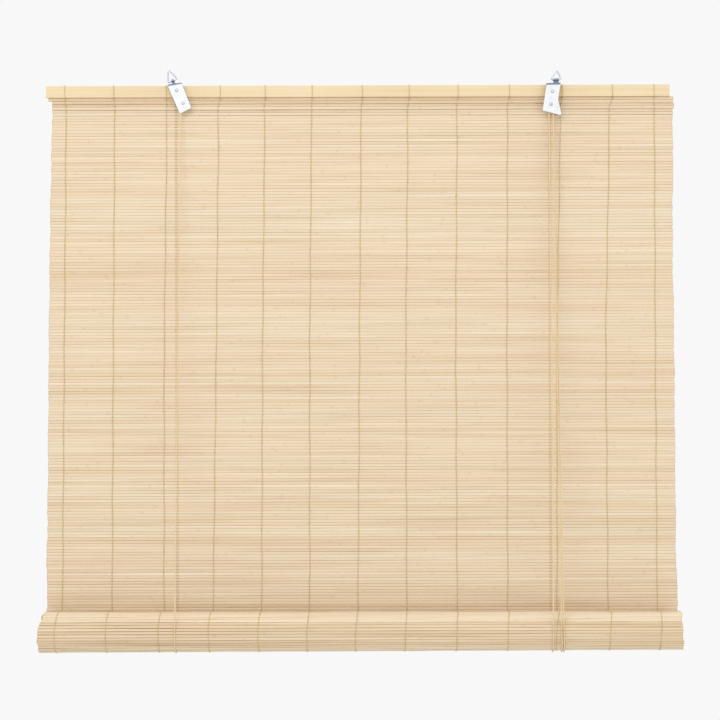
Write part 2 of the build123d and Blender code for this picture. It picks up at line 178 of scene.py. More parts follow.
def ramp(nt, fac, stops, interp="LINEAR"):
    r = node(nt, "ShaderNodeValToRGB")
    r.color_ramp.interpolation = interp
    e = r.color_ramp.elements
    while len(e) < len(stops):
        e.new(0.5)
    for el, (pos, col) in zip(e, stops):
        el.position = pos
        el.color = (*col, 1)
    link(nt, fac, r.inputs["Fac"])
    return r.outputs["Color"]


def mix(nt, kind, fac, a, b):
    m = node(nt, "ShaderNodeMix", data_type="RGBA", blend_type=kind)
    if isinstance(fac, (int, float)):
        m.inputs[0].default_value = fac
    else:
        link(nt, fac, m.inputs[0])
    for sock, v in ((m.inputs[6], a), (m.inputs[7], b)):
        if isinstance(v, tuple):
            sock.default_value = (*v, 1)
        else:
            link(nt, v, sock)
    return m.outputs[2]


def math_node(nt, op, a, b=None, clamp=False):
    m = node(nt, "ShaderNodeMath", operation=op, use_clamp=clamp)
    for sock, v in ((m.inputs[0], a), (m.inputs[1], b)):
        if v is None:
            continue
        if isinstance(v, (int, float)):
            sock.default_value = v
        else:
            link(nt, v, sock)
    return m.outputs[0]


def noise(nt, vec, scale, detail=3.0, rough=0.55, dist=0.0):
    n = node(nt, "ShaderNodeTexNoise")
    n.inputs["Scale"].default_value = scale
    n.inputs["Detail"].default_value = detail
    n.inputs["Roughness"].default_value = rough
    n.inputs["Distortion"].default_value = dist
    link(nt, vec, n.inputs["Vector"])
    return n.outputs["Fac"]


def scaled(nt, vec, s, offset=None):
    m = node(nt, "ShaderNodeMapping")
    m.inputs["Scale"].default_value = s
    link(nt, vec, m.inputs["Vector"])
    if offset is not None:
        link(nt, offset, m.inputs["Location"])
    return m.outputs["Vector"]


def bamboo(name, light, mid, dark, attrs=True, grain=1.0):
    """Split bamboo: each slat has its own tone, with fibres along it, darker joints and a few brown flecks; with the
    attributes, painted shade darkens the slat corners and the grooves between slats, and painted shadow dots show cords
    running behind.
    """
    m, nt, bsdf = material(name)
    co = node(nt, "ShaderNodeTexCoord").outputs["Object"]
    if attrs:
        rnd = node(nt, "ShaderNodeAttribute", attribute_name="rnd").outputs["Fac"]
        joint = node(nt, "ShaderNodeAttribute", attribute_name="joint").outputs["Fac"]
        groove_shade = node(nt, "ShaderNodeAttribute", attribute_name="groove_shade").outputs["Fac"]
        off = node(nt, "ShaderNodeCombineXYZ")
        link(nt, math_node(nt, "MULTIPLY", rnd, 37.0), off.inputs[0])
        link(nt, math_node(nt, "MULTIPLY", rnd, 11.0), off.inputs[2])
        off = off.outputs[0]
    else:
        rnd = joint = groove_shade = off = None
    fibre = noise(nt, scaled(nt, co, (5.0, 1400.0, 1400.0), off), 1.0, 4.0, 0.6)
    streak = noise(nt, scaled(nt, co, (1.6, 420.0, 420.0), off), 1.0, 3.0, 0.55)
    cloud = noise(nt, scaled(nt, co, (4.2, 30.0, 30.0), off), 1.0, 3.0, 0.6)
    base = streak
    if attrs:
        base = math_node(nt, "ADD", math_node(nt, "ADD", math_node(nt, "MULTIPLY", streak, 0.50), 0.14), math_node(nt, "MULTIPLY", rnd, 0.34))
    col = ramp(nt, base, [(0.12, dark), (0.42, mid), (0.68, light), (0.95, (light[0] * 1.03, light[1] * 1.04, light[2] * 1.08))])
    col = mix(nt, "MULTIPLY", 0.5 * grain, col, ramp(nt, fibre, [(0.32, (0.80, 0.74, 0.64)), (0.56, (1.0, 1.0, 1.0))]))
    col = mix(nt, "MULTIPLY", 0.45, col, ramp(nt, cloud, [(0.30, (0.90, 0.82, 0.74)), (0.62, (1.0, 1.0, 1.0))]))
    fleck = noise(nt, scaled(nt, co, (110.0, 900.0, 900.0), off), 1.0, 2.0, 0.5)
    col = mix(nt, "MIX", math_node(nt, "MULTIPLY", ramp(nt, fleck, [(0.74, (0, 0, 0)), (0.80, (1, 1, 1))]), 0.40), col, (dark[0] * 0.55, dark[1] * 0.44, dark[2] * 0.34))
    if attrs:
        col = mix(nt, "MULTIPLY", math_node(nt, "MULTIPLY", joint, 0.18), col, (0.62, 0.47, 0.30))
        # painted shade: darkens the slat corners and the grooves between slats, where shade falls
        col = mix(nt, "MULTIPLY", math_node(nt, "MULTIPLY", groove_shade, 1.0), col, (0.58, 0.45, 0.26))
    link(nt, col, bsdf.inputs["Base Color"])
    rough = ramp(nt, fibre, [(0.3, (0.66, 0.66, 0.66)), (0.7, (0.46, 0.46, 0.46))])
    link(nt, rough, bsdf.inputs["Roughness"])
    bsdf.inputs["Specular IOR Level"].default_value = 0.35
    bsdf.inputs["Sheen Weight"].default_value = 0.05
    bump = node(nt, "ShaderNodeBump")
    bump.inputs["Strength"].default_value = 0.35
    bump.inputs["Distance"].default_value = 0.00025
    link(nt, math_node(nt, "ADD", fibre, math_node(nt, "MULTIPLY", streak, 0.6)), bump.inputs["Height"])
    link(nt, bump.outputs["Normal"], bsdf.inputs["Normal"])
    return m


def thread_material(name, light, dark, fine=2600.0, strand_groove_shade=False, rough=0.85):
    m, nt, bsdf = material(name)
    co = node(nt, "ShaderNodeTexCoord").outputs["Object"]
    fuzz = noise(nt, co, fine, 3.0, 0.6)
    slow = noise(nt, co, 55.0, 2.0, 0.5)
    fac = math_node(nt, "ADD", math_node(nt, "MULTIPLY", fuzz, 0.6), math_node(nt, "MULTIPLY", slow, 0.4))
    if strand_groove_shade:
        # painted shade: the cord's colour darkened in the grooves between strands
        lay = node(nt, "ShaderNodeAttribute", attribute_name="lay").outputs["Fac"]
        fac = math_node(nt, "ADD", math_node(nt, "MULTIPLY", fac, 0.6), math_node(nt, "MULTIPLY", lay, 0.4))
    col = ramp(nt, fac, [(0.25, dark), (0.62, light)])
    link(nt, col, bsdf.inputs["Base Color"])
    link(nt, ramp(nt, fuzz, [(0.3, (rough - 0.12,) * 3), (0.7, (rough,) * 3)]), bsdf.inputs["Roughness"])
    bsdf.inputs["Specular IOR Level"].default_value = 0.2
    bsdf.inputs["Sheen Weight"].default_value = 0.25
    bsdf.inputs["Sheen Roughness"].default_value = 0.5
    bump = node(nt, "ShaderNodeBump")
    bump.inputs["Strength"].default_value = 0.5
    bump.inputs["Distance"].default_value = 0.0002
    link(nt, fuzz, bump.inputs["Height"])
    link(nt, bump.outputs["Normal"], bsdf.inputs["Normal"])
    return m


def zinc(name, light, dark, rough=0.28, brushed=(260.0, 260.0, 24.0), painted_fold_shade=False):
    """Bright zinc plate: cool grey with faint spangle, rolling lines and handling marks; faces turned away from the
    front are painted darker blue-grey as a painted reflection, and on request a painted dark band covers the tops of
    the bracket folds.
    """
    m, nt, bsdf = material(name)
    co = node(nt, "ShaderNodeTexCoord").outputs["Object"]
    lines = noise(nt, scaled(nt, co, brushed), 6.0, 4.0, 0.6)
    spangle = node(nt, "ShaderNodeTexVoronoi")
    spangle.inputs["Scale"].default_value = 420.0
    link(nt, co, spangle.inputs["Vector"])
    cloud = noise(nt, co, 130.0, 3.0, 0.6)
    col = ramp(nt, lines, [(0.3, dark), (0.65, light)])
    grey = node(nt, "ShaderNodeSeparateColor")
    link(nt, spangle.outputs["Color"], grey.inputs[0])
    col = mix(nt, "MULTIPLY", 0.5, col, ramp(nt, grey.outputs[0], [(0.0, (0.90, 0.91, 0.93)), (0.6, (1, 1, 1))]))
    col = mix(nt, "MULTIPLY", 0.5, col, ramp(nt, cloud, [(0.35, (0.80, 0.82, 0.86)), (0.6, (1, 1, 1))]))
    face = node(nt, "ShaderNodeSeparateXYZ")
    link(nt, node(nt, "ShaderNodeTexCoord").outputs["Normal"], face.inputs[0])
    flat = math_node(nt, "ABSOLUTE", face.outputs[1])
    # painted reflection: a dark blue-grey band over the top folds of the brackets, where the upward-facing fold
    # reflects a dark ceiling
    if painted_fold_shade:
        at_ = node(nt, "ShaderNodeSeparateXYZ")
        link(nt, co, at_.inputs[0])
        slope = math_node(nt, "MULTIPLY", math_node(nt, "LESS_THAN", at_.outputs[0], 0.0), math_node(nt, "ADD", math_node(nt, "MULTIPLY", math_node(nt, "ADD", at_.outputs[0], 0.292), 0.168), 0.0015))
        over = math_node(nt, "SUBTRACT", math_node(nt, "SUBTRACT", at_.outputs[2], slope), -0.0262)
        col = mix(nt, "MULTIPLY", ramp(nt, math_node(nt, "MULTIPLY", over, 1000.0, True), [(0.05, (0, 0, 0)), (0.75, (1, 1, 1))]), col, (0.30, 0.34, 0.42))
    # painted reflection: faces turned away from the front are darkened to blue-grey, a dark surround reflected in the
    # metal
    col = mix(nt, "MULTIPLY", 1.0, col, ramp(nt, flat, [(0.30, (0.23, 0.26, 0.33)), (0.62, (0.42, 0.46, 0.54)), (0.90, (1, 1, 1))]))
    link(nt, col, bsdf.inputs["Base Color"])
    bsdf.inputs["Metallic"].default_value = 0.6
    link(nt, ramp(nt, cloud, [(0.3, (rough + 0.14,) * 3), (0.7, (rough,) * 3)]), bsdf.inputs["Roughness"])
    bump = node(nt, "ShaderNodeBump")
    bump.inputs["Strength"].default_value = 0.12
    bump.inputs["Distance"].default_value = 0.0001
    link(nt, lines, bump.inputs["Height"])
    link(nt, bump.outputs["Normal"], bsdf.inputs["Normal"])
    return m


def nylon(name):
    m, nt, bsdf = material(name)
    co = node(nt, "ShaderNodeTexCoord").outputs["Object"]
    n = noise(nt, co, 300.0, 3.0, 0.6)
    link(nt, ramp(nt, n, [(0.3, (0.66, 0.63, 0.56)), (0.7, (0.80, 0.78, 0.72))]), bsdf.inputs["Base Color"])
    link(nt, ramp(nt, n, [(0.3, (0.5,) * 3), (0.7, (0.4,) * 3)]), bsdf.inputs["Roughness"])
    bsdf.inputs["Subsurface Weight"].default_value = 0.1
    bsdf.inputs["Subsurface Scale"].default_value = 0.002
    bump = node(nt, "ShaderNodeBump")
    bump.inputs["Strength"].default_value = 0.1
    bump.inputs["Distance"].default_value = 0.0001
    link(nt, n, bump.inputs["Height"])
    link(nt, bump.outputs["Normal"], bsdf.inputs["Normal"])
    return m


M_SLAT = bamboo("slat_bamboo", (0.87, 0.757, 0.588), (0.85, 0.708, 0.518), (0.73, 0.56, 0.375))
M_RAIL = bamboo("rail_bamboo", (0.83, 0.70, 0.475), (0.80, 0.655, 0.42), (0.69, 0.53, 0.31), attrs=False, grain=0.6)
M_BELL = bamboo("bell_wood", (0.56, 0.34, 0.14), (0.50, 0.28, 0.11), (0.36, 0.18, 0.06), attrs=False)
M_WARP = thread_material("warp_thread", (0.69, 0.55, 0.27), (0.48, 0.355, 0.15))
M_CORD = thread_material("cord", (0.80, 0.63, 0.38), (0.52, 0.36, 0.18), fine=2200.0, strand_groove_shade=True)
M_ZINC = zinc("zinc_plate", (0.95, 0.955, 0.965), (0.84, 0.855, 0.88), painted_fold_shade=True)
M_WIRE = zinc("zinc_wire", (0.86, 0.87, 0.90), (0.66, 0.68, 0.73), 0.22, (300.0, 300.0, 300.0))
M_RIVET = zinc("zinc_rivet", (0.78, 0.80, 0.84), (0.58, 0.60, 0.66), 0.3, (300.0, 300.0, 300.0))
M_NYLON = nylon("pulley_nylon")


def wear(ob, mat):
    ob.data.materials.clear()
    ob.data.materials.append(mat)


# ------------------------------------------------------------------ cords, first lengths before anything else
CORD_R = 1.1 * MM
ROLL_AXIS = Vector((0, -31.7 * MM, -893.0 * MM))


def cord_piece(name, pts, replaces, body, squash_top=None):
    line = route(pts)
    ob = cord_mesh(name, line, CORD_R)
    wear(ob, M_CORD)
    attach(ob, body)
    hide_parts(replaces)
    if squash_top is not None:
        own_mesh(ob)
    return ob


# where each cord meets the circle round the roll, and the corners of its way under it
def under(xa, xb, za, zb):
    """A cord's corners under the roll, from its front at x xa to its back at x xb."""
    return [
        (xa, -65.6, za), (xa + (xb - xa) * 0.12, -66.0, -904.9), (xa + (xb - xa) * 0.35, -46.3, -926.9),
        (xa + (xb - xa) * 0.65, -17.8, -927.3), (xa + (xb - xa) * 0.88, 2.1, -906.9), (xb, 2.3, zb),
    ]


# left lift cord
cord_piece("left_lift_cord_front_run", [(-282.4, -6.2, -53.1), (-284.0, -8.6, -86.0), (-287.6, -48.5, -650.0), (-289.6, -65.6, -890.6)],
           "left_lift_cord_front", "root", squash_top=-53.1)
cord_piece("left_lift_cord_under_roll", under(-289.6, -291.6, -890.6, -893.2), "left_lift_cord_sling", "slings")
cord_piece("left_lift_cord_back_run", [(-290.4, 7.9, -43.9), (-290.6, 6.4, -260.0), (-291.3, 3.6, -690.0), (-291.6, 2.3, -893.2)],
           "left_lift_cord_back", "root", squash_top=-43.9)
cord_piece("left_lift_cord_cross_run",
           [(-282.4, -6.2, -53.1), (-282.3, -6.2, -50.6), (-281.5, -6.2, -49.75), (-279.0, -6.2, -49.7), (-272.6, -6.0, -49.7), (-271.0, -3.6, -49.7), (-271.0, 4.0, -49.7),
            (-270.2, 7.3, -49.7), (-262.0, 7.5, -49.9), (-120.0, 7.5, -50.9), (120.0, 7.5, -52.2), (290.0, 7.5, -53.3), (298.6, 7.3, -53.4),
            (299.5, 4.0, -53.4), (299.5, -3.6, -53.4), (300.6, -6.0, -53.4), (308.6, -6.2, -53.4), (311.1, -6.2, -53.45), (311.9, -6.2, -54.3), (312.0, -6.2, -56.8)],
           "left_lift_cord_cross", "root")
# right lift cord
cord_piece("right_lift_cord_front_run", [(305.2, -9.4, -56.8), (305.9, -11.6, -90.0), (305.3, -47.0, -620.0), (304.8, -65.6, -890.7)],
           "right_lift_cord_front", "root", squash_top=-56.8)
cord_piece("right_lift_cord_under_roll", under(304.8, 308.0, -890.7, -893.2), "right_lift_cord_sling", "slings")
cord_piece("right_lift_cord_back_run", [(305.6, 7.9, -45.2), (305.9, 6.4, -260.0), (307.3, 3.6, -690.0), (308.0, 2.3, -893.2)],
           "right_lift_cord_back", "root", squash_top=-45.2)
line = route([(305.2, -9.4, -56.8), (305.2, -9.4, -55.4), (306.2, -9.4, -53.5), (308.6, -9.4, -53.2), (311.0, -9.4, -53.5), (312.0, -9.4, -55.4), (312.0, -9.4, -56.8)])
ob = cord_mesh("right_lift_cord_over_pulley", line, CORD_R, step=0.5 * MM)
wear(ob, M_CORD)
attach(ob, "root")
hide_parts("right_lift_cord_turn")
# the two tails
cord_piece("pull_cord_1_front_run", [(312.0, -9.4, -56.8), (312.6, -11.6, -90.0), (315.3, -46.0, -610.0), (317.6, -65.6, -890.7)],
           "pull_cords_front", "root", squash_top=-56.8)
cord_piece("pull_cord_2_front_run", [(312.0, -6.2, -56.8), (312.7, -8.6, -90.0), (318.2, -45.5, -610.0), (321.2, -65.6, -890.6)],
           "pull_cords_front", "root", squash_top=-56.8)
cord_piece("pull_cord_1_under_roll", under(317.6, 323.5, -890.7, -893.2), "pull_cords_sling", "slings")
cord_piece("pull_cord_2_under_roll", under(321.2, 327.5, -890.6, -893.3), "pull_cords_sling", "slings")
for n, x0, yn, dy in ((1, 323.5, 7.4, 7.6), (2, 327.5, 10.2, 10.0)):
    cord_piece(f"pull_cord_{n}_back_run", [(379.4, yn, -34.0), (378.0, yn - 0.3, -60.0), (345.0 + n * 1.6, 0.55 * yn, -580.0), (x0, 2.3, -893.2)],
               "pull_cords_back", "root", squash_top=-34.0)
    cord_piece(f"pull_cord_{n}_over_nail",
               [(379.4, yn, -34.0), (379.4, yn, -32.5), (380.3, yn, -31.5), (382.0, yn, -31.3), (383.8, yn, -31.6), (384.6, yn, -33.0), (384.6, yn, -35.5), (384.6, yn, -40.0),
                (384.65, yn + 0.15 * (dy - yn), -49.0), (384.7, yn + 0.45 * (dy - yn), -67.0), (384.65, yn + 0.85 * (dy - yn), -94.0), (384.6, dy, -121.5)],
               "pull_cords_back", "root")


# ------------------------------------------------------------------ knots
def knot(name, centre, size, cord_r, turns=3, axis=(0, 0, 1)):
    """Overhand knot pulled tight: a trefoil of cord."""
    ax = Vector(axis)
    q = ax.to_track_quat("Z", "Y")
    pts = []
    for i in range(97):
        t = 2 * math.pi * i / 96
        p = Vector(((math.sin(t) + 2 * math.sin(2 * t)) / 3, (math.cos(t) - 2 * math.cos(2 * t)) / 3, -math.sin(3 * t) * 0.42))
        p = q @ (p * size) + Vector(centre)
        pts.append(p[:])
    pts = np.array(pts)
    ob = cord_mesh(name, pts, cord_r, step=0.5 * MM)
    wear(ob, M_CORD)
    return ob


for side in ("left", "right"):
    lo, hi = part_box(f"{side}_anchor_knot")
    lo, hi = Vector(lo), Vector(hi)
    c = (lo + hi) / 2
    k = knot(f"{side}_lift_cord_knot", c[:], 1.75 * MM, 1.05 * MM)
    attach(k, "root")
    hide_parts(f"{side}_anchor_knot")
    wear(NODES[f"{side}_anchor_knot"], M_CORD)

# ------------------------------------------------------------------ the mat
EDGE_LEFT = [(-44, -489.5), (-74, -489.3), (-120, -490.4), (-230, -493.0), (-450, -496.0),
             (-690, -498.4), (-790, -500.4), (-900, -499.4)]
EDGE_RIGHT = [(-44, 503.6), (-120, 504.6), (-290, 503.4), (-430, 505.4), (-784, 507.6),
              (-860, 510.4), (-900, 510.6)]
STATIONS = [
    (-468.8, -467.5, -471.0, -475.6), (-390.4, -389.6, -392.5, -396.0),
    (-306.6, -306.2, -311.0, -312.8), (-220.0, -223.5, -227.5, -234.4),
    (-148.0, -149.5, -153.5, -156.5), (-72.8, -74.5, -78.0, -79.4),
    (7.2, 5.0, 1.8, -2.2), (82.4, 79.8, 75.8, 76.2),
    (160.8, 158.6, 155.8, 157.0), (242.9, 239.6, 237.8, 237.9),
    (327.4, 324.0, 317.8, 317.0), (407.6, 402.4, 396.0, 398.9),
    (474.2, 475.0, 475.4, 477.3),
]
ROLL_STATIONS = [-479.1, -398.9, -316.2, -237.0, -159.0, -82.1, -5.8, 72.3, 153.1, 233.8, 310.6, 394.9, 474.8]
SLAT_N, PITCH, FIRST = 181, 4.69, -46.2
SPLIT = 15                      # slats above this one stay up whatever the roll does


def at(table, z):
    if z >= table[0][0]:
        return table[0][1]
    for (za, xa), (zb, xb) in zip(table, table[1:]):
        if z >= zb:
            return xa + (xb - xa) * (za - z) / (za - zb)
    return table[-1][1]


SECTION = [(-0.5, 0.36), (-0.5, -0.36), (-0.36, -0.5), (0.36, -0.5), (0.5, -0.36), (0.5, 0.36), (0.36, 0.5), (-0.36, 0.5)]


def wander(seed, x, amp, waves):
    """Smooth seeded curve along the slat."""
    r = random.Random(seed)
    out = np.zeros_like(x)
    for w in waves:
        out += (r.uniform(-1, 1)) * np.sin(x * w * r.uniform(0.8, 1.25) + r.uniform(0, 6.28))
    return amp * out / math.sqrt(len(waves))


# the slats get a painted shadow of these cords in their grooves
BEHIND = (-291.0, 307.0)        # where the lift cords run behind the mat


def slat_rings(seed, x0, x1, width, thick, segs, bow_w, bow_t, marks=False):
    """Rings (x, across, through) of one slat of split bamboo: slightly wavy, with one to three joints."""
    r = random.Random(seed)
    x = np.linspace(x0, x1, segs)
    joints = []
    p = x0 + r.uniform(20, 380)
    while p < x1 - 12:
        joints.append(p)
        p += r.uniform(230, 420)
    near = [j + d for j in joints for d in (-4.0, -1.6, 0.0, 1.6, 4.0) if x0 + 2 < j + d < x1 - 2]
    near += [c + d for c in BEHIND for d in (-3.0, -1.9, 0.0, 1.9, 3.0) if marks]
    x = np.sort(np.concatenate([x, near, [x0 + 1.1, x1 - 1.1]]))
    x = x[np.concatenate([[True], np.diff(x) > 0.4])]
    jm = np.zeros_like(x)
    for j in joints:
        jm = np.maximum(jm, np.exp(-(((x - j) / 2.0) ** 2)))
    across = wander(seed * 7 + 1, x, bow_w, (0.012, 0.027, 0.05))
    through = wander(seed * 7 + 2, x, bow_t, (0.010, 0.024, 0.06))
    w = width * (1 + wander(seed * 7 + 3, x, 0.035, (0.008, 0.03)) + 0.03 * jm)
    t = thick * (1 + wander(seed * 7 + 4, x, 0.05, (0.01, 0.04)) + 0.10 * jm)
    end = np.ones_like(x)
    end[0] = end[-1] = 0.90
    dot = np.zeros_like(x)
    # the slat pinched a little narrower where a cord runs behind; the same mask carries the painted cord shadow
    if marks:
        for c in BEHIND:
            dot = np.maximum(dot, (np.abs(x - c) < 2.4) * 1.0)
    return x, across, through, w * end * (1 - 0.035 * dot), t * end, jm, dot


def build_slats(name, items):
    """items: list of (seed, x0, x1, width, thick, segs, bow_w, bow_t, place, groove shade strength, back-cord flag)
    where place(x, across, through) gives points; the groove shade strength scales the painted shade in the grooves, and
    the back-cord flag pinches the slats where cords run behind and paints the cords' shadow in the grooves.
    """
    verts, faces, rnd, joint, groove_shade = [], [], [], [], []
    base = 0
    n = len(SECTION)
    sec = np.array(SECTION)
    # painted groove shade: full on the rounded corners, a little on the front and back faces
    e = np.array([0.22 if abs(a) == 0.5 else 1.0 for a, b in SECTION])
    for seed, x0, x1, width, thick, segs, bow_w, bow_t, place, groove_shade_gain, marks in items:
        x, ac, th, w, t, jm, dot = slat_rings(seed, x0, x1, width, thick, segs, bow_w, bow_t, marks)
        X = np.repeat(x, n)
        A = (ac[:, None] + w[:, None] * sec[None, :, 1]).ravel()
        T = (th[:, None] + t[:, None] * sec[None, :, 0]).ravel()
        verts.append(place(X, A, T))
        faces += grid_faces(len(x), n, base)
        base += len(X)
        tone = random.Random(seed * 13 + 5).random()
        rnd.append(np.full(len(X), tone))
        joint.append(np.repeat(jm, n))
        ed = np.tile(e, len(x)).reshape(len(x), n).copy()
        ed *= groove_shade_gain * np.clip(1 + wander(seed * 7 + 9, x, 0.42, (0.006, 0.017)), 0.25, 1.8)[:, None]
        # painted shadow of the cord behind the mat, seen through the grooves
        ed += dot[:, None] * e[None, :] * 0.9
        ed[0] = ed[-1] = 0.8
        groove_shade.append(np.minimum(ed, 1.5).ravel())
    return make(name, np.concatenate(verts) * MM, faces,
                {"rnd": np.concatenate(rnd), "joint": np.concatenate(joint), "groove_shade": np.concatenate(groove_shade)}, smooth=True)


def soften(ob, angle=40):
    """Flat faces stay flat and the rounded corners stay round."""
    for p in ob.data.polygons:
        p.use_smooth = True
    ob.data.set_sharp_from_angle(angle=math.radians(angle))


SLAT_Z = {}


def mat_items(first, last):
    items = []
    for i in range(first, last):
        r = random.Random(900 + i)
        z = FIRST - i * PITCH
        loose = 1.0 if i < 6 else 0.0
        dz = r.uniform(-0.05, 0.05) + loose * r.uniform(-0.12, 0.12)
        zc = z + dz + (0.42 if i == 0 else 0.0)
        SLAT_Z[i] = zc
        x0 = at(EDGE_LEFT, z) + 0.5 * math.sin(i * 0.31) + 0.3 * math.sin(i * 1.13 + 2) + r.uniform(-0.45, 0.45)
        x1 = at(EDGE_RIGHT, z) + 0.5 * math.sin(i * 0.27 + 1) + 0.3 * math.sin(i * 1.21 + 1) + r.uniform(-0.5, 0.5)
        if i == 0:
            x0 -= 6.5
            x1 += 1.0
        if i in (2, 3):
            x1 += 2.6
        width = r.uniform(4.68, 4.76) + loose * 0.30 + (0.35 if i == 0 else 0.0)
        thick = r.uniform(1.38, 1.62)
        tilt = r.uniform(-0.03, 0.03) + loose * r.uniform(-0.12, 0.12)
        depth = loose * 0.55 * (-1) ** i
        # painted shade: the groove shade grows towards the bottom of the hanging mat, which gets less light from behind
        low = min(1.0, max(0.0, (-430.0 - z) / 420.0))
        groove_shade_gain = 0.66 + 0.12 * low + r.uniform(-0.12, 0.26) + loose * 0.35
        # painted shadow: the loose slats and the first slats under the rail get darker grooves, the shadow gap under
        # the rail
        if i in (1, 2):
            groove_shade_gain = 1.5

        def place(X, A, T, zc=zc, tilt=tilt, depth=depth):
            return np.stack([X, -(T + A * tilt) + depth, zc + A], axis=1)

        items.append((3000 + i, x0, x1, width, thick, 36, 0.05 + 0.12 * loose, 0.12 + 0.16 * loose, place, groove_shade_gain, True))
    return items


def notch(ob):
    """Press the slats apart where the cross cord slips through."""
    me = ob.data
    co = np.empty(len(me.vertices) * 3, dtype=np.float32)
    me.vertices.foreach_get("co", co)
    co = co.reshape(-1, 3)
    for x, z in ((-271.0, -49.7), (299.5, -53.4)):
        dx = (co[:, 0] - x * MM) / (14 * MM)
        dz = co[:, 2] - z * MM
        push = np.exp(-dx * dx) * np.exp(-((dz / (5 * MM)) ** 2)) * 1.25 * MM
        co[:, 2] += np.sign(dz) * push
    me.vertices.foreach_set("co", co.ravel())
    me.update()


upper = build_slats("mat_slats_upper", mat_items(0, SPLIT))
notch(upper)
lower = build_slats("mat_slats_lower", mat_items(SPLIT, SLAT_N))
for ob in (upper, lower):
    soften(ob)
    wear(ob, M_SLAT)
    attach(ob, "root")
    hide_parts("mat_slats")
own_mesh(lower)


# ------------------------------------------------------------------ warp threads
def strand(pts, radius, sides, verts, faces, lay, base, twist=0.0):
    p = np.array(pts)
    t, n, b = frames(p)
    th = np.linspace(0, 2 * math.pi, sides, endpoint=False)
    for i in range(len(p)):
        verts.append(p[i] + np.outer(np.cos(th + twist * i) * radius, n[i]) + np.outer(np.sin(th + twist * i) * radius, b[i]))
        lay.append(0.5 + 0.5 * np.cos(th))
    faces += grid_faces(len(p), sides, base)
    return base + len(p) * sides


def station_x(k, z):
    xr, xt, xm, xb = STATIONS[k]
    if z > -44:
        return xr
    if z > -60:
        return xr + (xt - xr) * (-44 - z) / 16
    tab = [(-60, xt), (-120, xt), (-430, xm), (-893, xb)]
    for (za, xa), (zb, xe) in zip(tab, tab[1:]):
        if z >= zb:
            return xa + (xe - xa) * (za - z) / (za - zb)
    return xb


def warp(name, first, last, over_rail):
    """Two threads at each station, crossing over between slats: one in front of a slat, the other behind it."""
    verts, faces, lay, base = [], [], [], 0
    for k in range(len(STATIONS)):
        r = random.Random(70 + k)
        drift = [r.uniform(-0.22, 0.22) for _ in range(SLAT_N + 1)]
        for s in (-1, 1):
            pts = []
            if over_rail:
                x = station_x(k, -30)
                out = 3.5 + 0.42
                if s < 0:
                    pts += [(x - 0.5, 0.0, -23.7), (x - 0.45, -2.6, -23.7), (x - 0.2, -out, -25.4), (x, -out, -30.0), (x + 0.1, -out, -38.0), (x + 0.2, -out, -42.0), (x + 0.3, -3.0, -43.6)]
                else:
                    pts += [(x + 0.5, 0.0, -23.7), (x + 0.45, 2.6, -23.7), (x + 0.2, out, -25.4), (x, out, -30.0), (x - 0.1, out, -38.0), (x - 0.2, out, -42.0), (x - 0.3, 3.0, -43.6)]
            for i in range(first, last):
                z = SLAT_Z[i]
                side = s if i % 2 == 0 else -s
                x = station_x(k, z) + 0.45 * math.sin(i * 0.21 + k * 1.3) + drift[i]
                y = side * (1.12 + (0.45 if i < 6 else 0.0))
                pts += [(x - 0.75 * side, 0.80 * side, z + 2.25), (x - 0.40 * side, y, z + 1.2), (x + 0.40 * side, y, z - 1.2), (x + 0.75 * side, 0.80 * side, z - 2.25)]
            base = strand(np.array(pts) * MM, 0.56 * MM, 5, verts, faces, lay, base)
    return make(name, np.concatenate(verts), faces, {"lay": np.concatenate(lay)})


wu = warp("warp_threads_upper", 0, SPLIT, True)
wl = warp("warp_threads_lower", SPLIT, SLAT_N, False)
for ob in (wu, wl):
    wear(ob, M_WARP)
    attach(ob, "root")
    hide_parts("warp_threads")
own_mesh(wl)

# ------------------------------------------------------------------ the roll
ROLL_X0, ROLL_X1 = -513.0, 517.0
HALVES, R0, SPIRAL = 11, 31.7, 3.9
CY, CZ = -31.7, -893.0


def spiral_point(s):
    """Centre line of the rolled mat at distance s from where it leaves the hanging part: (y, z, angle), in mm."""
    for k in range(HALVES):
        r = R0 - k * SPIRAL / 2
        if s <= math.pi * r or k == HALVES - 1:
            a = s / r
            if k % 2 == 0:
                return CY + r * math.cos(-a), CZ + r * math.sin(-a), -a
            return CY - SPIRAL / 2 + r * math.cos(math.pi - a), CZ + r * math.sin(math.pi - a), math.pi - a
        s -= math.pi * r
    return None


TOTAL = sum(math.pi * (R0 - k * SPIRAL / 2) for k in range(HALVES))


def taper(X):
    """The roll is a little fatter at the left end."""
    return 1.034 - (X - ROLL_X0) / (ROLL_X1 - ROLL_X0) * 0.064


def at_s(table, s):
    return float(np.interp(s, [p[0] for p in table], [p[1] for p in table]))


# the outermost turn's two ends, and how far the threads have moved outwards, along the winding
ROLL_LEFT = [(0, -500.0), (30, -503.5), (50, -505.6), (72, -505.6), (99, -505.9), (108, -504.6), (115, -502.2), (123, -499.4), (134, -497.6), (150, -497.0), (190, -500.0), (230, -502.0), (300, -501.5), (420, -499.0), (560, -501.0), (760, -497.0)]
ROLL_RIGHT = [(0, 510.8), (30, 511.6), (50, 512.2), (85, 509.6), (99, 508.4), (110, 507.6), (118, 507.6), (128, 509.2), (160, 509.4), (220, 506.4), (300, 508.0), (430, 504.6), (560, 507.0), (760, 502.0)]
SPREAD = [(0, 0.0), (45, 0.85), (75, 1.0), (99, 1.0), (110, 0.85), (122, 0.5), (136, 0.15), (150, 0.0), (190, 0.6), (400, 0.6)]

